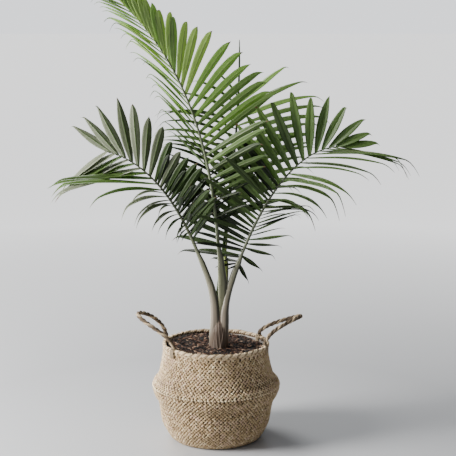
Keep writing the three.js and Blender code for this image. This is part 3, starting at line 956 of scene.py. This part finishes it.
def dress(name, blades, greens):
    """One frond's leaflets as a mesh. greens: its tones, and the tone's number along each side."""
    tones = greens["tones"] + [greens["rib"], "dry_tip"]
    piece = Piece(f"leaflets_{name}", [GREENS[tone] for tone in tones])
    for blade, side, index, w in blades:
        seed = index * 7 + len(name) * 31 + (side == "left")
        # Painted shade: the inner leaflets are dealt tones 0.7 steps darker, and the two lowest ones, behind
        # the stalks, 3 steps darker.
        shade_steps = 3 if index >= LOW_NUMBER else 0.7 if index >= INNER_STEP + INNER_FIRST else 0
        tone = along(greens[side], w) + 0.9 * jitter(seed + 707) - shade_steps
        tone = int(np.clip(round(tone), 0, len(greens["tones"]) - 1))
        tip = len(tones) - 1 if jitter(seed + 808) > 0.2 else None
        point = along(greens["point"][side == "left"], w)
        fine_blade(piece, blade, point, seed, tone, len(tones) - 2, tip)
    piece.make([f"frond_{name}"])


# Plain greens, dealt out leaflet by leaflet: each one's colour, and the light that comes through it. Most
# are lit and shaded copies of one green: the two darkest are painted shade, lime and sunny are painted
# light, and the grey olive is partly painted sheen.
LEAF_TONES = {
    "deep": ((0.01, 0.018, 0.005), (0.025, 0.055, 0.008)),
    "shadow": ((0.031, 0.054, 0.014), (0.08, 0.16, 0.02)),
    "green": ((0.062, 0.107, 0.027), (0.18, 0.32, 0.045)),
    "fresh": ((0.107, 0.176, 0.05), (0.28, 0.46, 0.08)),
    "lime": ((0.165, 0.275, 0.076), (0.46, 0.7, 0.13)),
    "sunny": ((0.235, 0.35, 0.105), (0.58, 0.76, 0.18)),
    "olive": ((0.095, 0.112, 0.066), (0.15, 0.2, 0.08)),
    "grey_olive": ((0.215, 0.24, 0.165), (0.28, 0.34, 0.18)),
    "soft_rib": ((0.14, 0.19, 0.07), (0.25, 0.35, 0.08)),
    "dry_tip": ((0.1, 0.062, 0.025), (0.16, 0.1, 0.04)),
}
# Heights and half depths of the two old stalks' feet.
FOOT_HEIGHTS = [0.251, 0.281, 0.3195, 0.3415, 0.3635, 0.3797, 0.3957, 0.412, 0.428, 0.4445, 0.4605, 0.475]
FOOT_DEPTHS = [0.02, 0.0213, 0.019, 0.0165, 0.0138, 0.0122, 0.011, 0.0098, 0.0089, 0.008, 0.0074, 0.0068]


def old_foot(x, y, wide):
    """An old stalk's foot: its middle, half width and half depth at each height."""
    return np.column_stack([x, np.interp(range(12), [0, 3, 6, 11], y), FOOT_HEIGHTS, wide, FOOT_DEPTHS])


# Each stalk's foot, from below: middle in x, y and z, half width and half depth.
STALK_FEET = {
    "left": old_foot(
        [-0.0015, -0.0012, -0.0013, -0.0021, -0.0034, -0.0057, -0.0089, -0.013, -0.0184, -0.0243, -0.0304,
         -0.0362], [0, -0.002, -0.001, 0.0035],
        [0.0167, 0.0161, 0.0139, 0.0126, 0.0118, 0.0108, 0.0101, 0.0094, 0.0087, 0.0079, 0.0076, 0.0071]),
    "right": old_foot(
        [0.0208, 0.021, 0.0221, 0.0231, 0.0263, 0.0294, 0.0331, 0.0374, 0.0425, 0.0477, 0.0536, 0.06],
        [0.001, -0.003, -0.002, -0.0072],
        [0.0132, 0.0132, 0.013, 0.0116, 0.0098, 0.0094, 0.0091, 0.009, 0.0089, 0.0086, 0.0081, 0.0073]),
    "tall": [
        (0.013, -0.004, 0.29, 0.009, 0.0075), (0.0158, -0.005, 0.33, 0.0106, 0.0075),
        (0.0176, -0.005, 0.37, 0.012, 0.007), (0.0178, -0.006, 0.4, 0.0121, 0.0068),
        (0.017, -0.009, 0.432, 0.0115, 0.0068), (0.0148, -0.0125, 0.46, 0.01, 0.0066),
        (0.0128, -0.016, 0.49, 0.0078, 0.0062)],
    "rear": [
        (0.016, 0.008, 0.29, 0.006, 0.007), (0.018, 0.01, 0.33, 0.0062, 0.0066),
        (0.0215, 0.014, 0.366, 0.0064, 0.0066), (0.025, 0.0184, 0.411, 0.0066, 0.0062),
        (0.0265, 0.0211, 0.433, 0.0066, 0.006), (0.0272, 0.0258, 0.465, 0.0063, 0.0058)],
}
# Each skin's colours: at the foot, above, in the crown (painted shade on the old and young stalks), and of
# the painted light on its left side. Last, where the painted shade on its right side sets in.
STALK_SKINS = {
    "stalk_old": (
        (0.2, 0.165, 0.125), (0.115, 0.13, 0.075), (0.034, 0.044, 0.02), (0.4, 0.41, 0.31), (-0.1, 0.4)),
    "stalk_tall": (
        (0.17, 0.17, 0.09), (0.075, 0.085, 0.045), (0.14, 0.19, 0.09), (0.55, 0.57, 0.42), (-0.8, 0.5)),
    "stalk_young": (
        (0.34, 0.38, 0.08), (0.3, 0.38, 0.07), (0.1, 0.14, 0.05), (0.42, 0.5, 0.12), (0.05, 0.5)),
}
SKIN_OF = {"left": 0, "right": 0, "tall": 1, "rear": 2}


def stalks(limbs):
    """Leaf stalks and ribs, each one tapering limb from its broad foot to the frond's tip."""
    piece = Piece("leaf_stalks", [leaf_stalk(name, *look) for name, look in STALK_SKINS.items()])
    angle = even_turns(16)
    channel = 1 - 0.22 * np.exp(-((angle - math.pi / 2) / 0.5) ** 2)
    for name, limb in limbs.items():
        frond = FRONDS[name]
        foot = np.array(STALK_FEET[name])
        t = np.linspace(0, 1, 40)
        path = limb.at(t)
        widths = [frond["stalk"] * 0.78, frond["rib"] * 0.95, 0.002]
        half = np.interp(t, [0, frond["leaf_from"], 1], widths) / 2
        above = path[:, 2] > foot[-1, 2] + 0.018
        rows = np.vstack([foot, np.column_stack([path, half, half * 0.86])[above]])
        even = smooth_line(rows, 150)
        line, wide, deep = even[:, :3], even[:, 3:4], even[:, 4:]
        _, side, upper = frames_along(line, FRONT)
        piece.skin(rings_round(line, side, upper, wide * channel, deep * channel, angle), SKIN_OF[name])
    piece.make([f"stalk_{name}" for name in FRONDS])


def spear(limb):
    """The young leaf, folded shut: narrow pleats that run to a fine point."""
    t = np.linspace(0, 1, 90)
    line = limb.at(t)
    _, side, upper = frames_along(line, FRONT)
    angle = even_turns(20)
    half = SPEAR_WIDTH / 2 * np.interp(t, [0, 0.5, 0.93, 1], [1, 0.75, 0.5, 0.2])
    pleated = half[:, None] * (1 + 0.14 * np.cos(5 * angle[None] + 9 * t[:, None]))
    piece = Piece("young_spear", [GREENS["shadow"], GREENS["green"]])
    piece.skin(rings_round(line, side, upper, pleated, pleated, angle), (np.arange(89) < 40).astype(int))
    piece.make(["spear_leaf"])


# ---- Scene ----
# The sky's strength from side to side and from the horizon up: from, to, and its value at both.
SKY_SIDEWAYS = (-0.9, 0.7, 0.62, 0.09)
SKY_UPWARDS = (0.03, 0.12, 1.49, 0)
PICTURE_PIXELS = 456
FOCAL_PIXELS = 1200
CAMERA_PLACE = (0.0322, -3.105, 1.087)
CAMERA_DOWN = 9.5  # degrees below level


def lamp(name, place, aim, size, power, colour):
    light = bpy.data.lights.new(name, "AREA")
    light.shape = "RECTANGLE"
    light.size, light.size_y = size
    light.energy = power
    light.color = colour
    holder = bpy.data.objects.new(name, light)
    bpy.context.scene.collection.objects.link(holder)
    holder.location = place
    holder.rotation_euler = (Vector(aim) - Vector(place)).to_track_quat("-Z", "Y").to_euler()


def studio():
    """A pale room: the window on the left, dim on the right, and a floor that glows with painted light far
    behind.
    """
    bpy.ops.mesh.primitive_plane_add(size=400)
    floor = bpy.context.object
    floor.name = "floor"
    sheen = Finish("pale_glowing_floor", 0.3)
    sheen.set("Base Color", (0.5, 0.51, 0.53))
    away = sheen.node("ShaderNodeVectorMath", sheen.place(), out="Value", operation="LENGTH")
    towards = sheen.node("ShaderNodeVectorMath", sheen.place(), (-0.45, 0.9, 0), out="Value",
                         operation="DOT_PRODUCT")
    # Painted light: the floor glows from 0.8 m out to 3.6 m and beyond, more towards the back left.
    glow = sheen.between(away, 0.8, 3.6) * (sheen.between(towards, -2, 0.9) * 0.75 + 0.25)
    sheen.set("Emission Color", sheen.blend(glow, (0, 0, 0), (1, 1, 1)))
    sheen.set("Emission Strength", 1.2)
    floor.data.materials.append(sheen.material)
    world = bpy.data.worlds.new("studio")
    bpy.context.scene.world = world
    world.use_nodes = True
    sky = Nodes(world.node_tree)
    look = sky.place("Generated")
    sideways = sky.between(sky.axis("X", look), *SKY_SIDEWAYS)
    upwards = sky.between(sky.axis("Z", look), *SKY_UPWARDS)
    backdrop = sky.tree.nodes["Background"].inputs
    sky.put(backdrop["Strength"], sideways.sum("MAXIMUM", upwards))
    sky.put(backdrop["Color"], (0.94, 0.96, 1))
    lamp("window", (-2.2, -0.6, 1.3), (0, 0, 0.45), (0.9, 1.8), 206, (1, 0.98, 0.95))
    lamp("sky_light", (-1, 1.6, 2.4), (0, 0, 0.9), (1.2, 1.2), 60, (1, 1, 0.97))


def camera():
    lens = bpy.data.cameras.new("camera")
    lens.sensor_width = 36
    lens.lens = lens.sensor_width * FOCAL_PIXELS / PICTURE_PIXELS
    eye = bpy.data.objects.new("camera", lens)
    eye.location = CAMERA_PLACE
    eye.rotation_euler = (math.radians(90 - CAMERA_DOWN), 0, 0)
    bpy.context.scene.collection.objects.link(eye)
    bpy.context.scene.camera = eye


GREENS = {name: leaf_green(f"leaf_{name}", *tone) for name, tone in LEAF_TONES.items()}
camera()
studio()
inner_wall()
weave()
rim()
lining()
handles()
mulch()
stem()
LIMBS = {name: Limb(frond["path"]) for name, frond in FRONDS.items()}
spear_limb = Limb(SPEAR_PATH)
for name, limb in LIMBS.items():
    TAKEN.append((name, limb.spaced(), FRONDS[name]["stalk"] / 2 + LIMB_CLEARANCE))
TAKEN.append(("spear", spear_limb.spaced(), SPEAR_WIDTH / 2 + LIMB_CLEARANCE))
stalks(LIMBS)
spear(spear_limb)
# tones: from dark to light. right and left: the tone's number from the lowest leaflet to the last.
# point: from 0 for an oar-shaped blade to 1 for a lance-shaped one, on the right and on the left.
# Along each side the tones run from painted shade on the low leaflets deep in the crown to painted light on
# the leaflets the window lights, most on the tall frond's right side; each leaflet's tone also strays at
# random.
PALETTES = {
    "left": {"tones": ["deep", "shadow", "olive", "grey_olive", "green", "fresh"], "rib": "green",
             "right": [0, 0.4, 1.3, 2.7, 2.8], "left": [1.2, 1.8, 4.4, 4.2, 2.6],
             "point": ([0.3, 0.1, 0, 0, 0, 0, 0, 0.3, 1, 1, 1], [0.8, 0.6, 0.6])},
    "right": {"tones": ["deep", "shadow", "green", "fresh"], "rib": "soft_rib",
              "right": [0, 0.8, 1.8, 2.1], "left": [0.4, 1.6, 2.1, 2.2], "point": ([1, 1], [0.4, 0.3, 0.7])},
    "tall": {"tones": ["deep", "shadow", "green", "fresh", "lime", "sunny"], "rib": "soft_rib",
             "right": [0.8, 2.8, 4.5, 4.9, 4.4], "left": [1.2, 3, 3.8, 4.2, 3.2],
             "point": ([0.1, 0.1, 0.6], [1, 1])},
    "rear": {"tones": ["deep", "shadow", "green", "fresh", "lime"], "rib": "soft_rib",
             "right": [1.8, 2.8, 3.4, 3.8], "left": [0.7, 1.6, 2.3], "point": ([0.8, 0.8], [1, 1])},
}
leaflets(LIMBS)
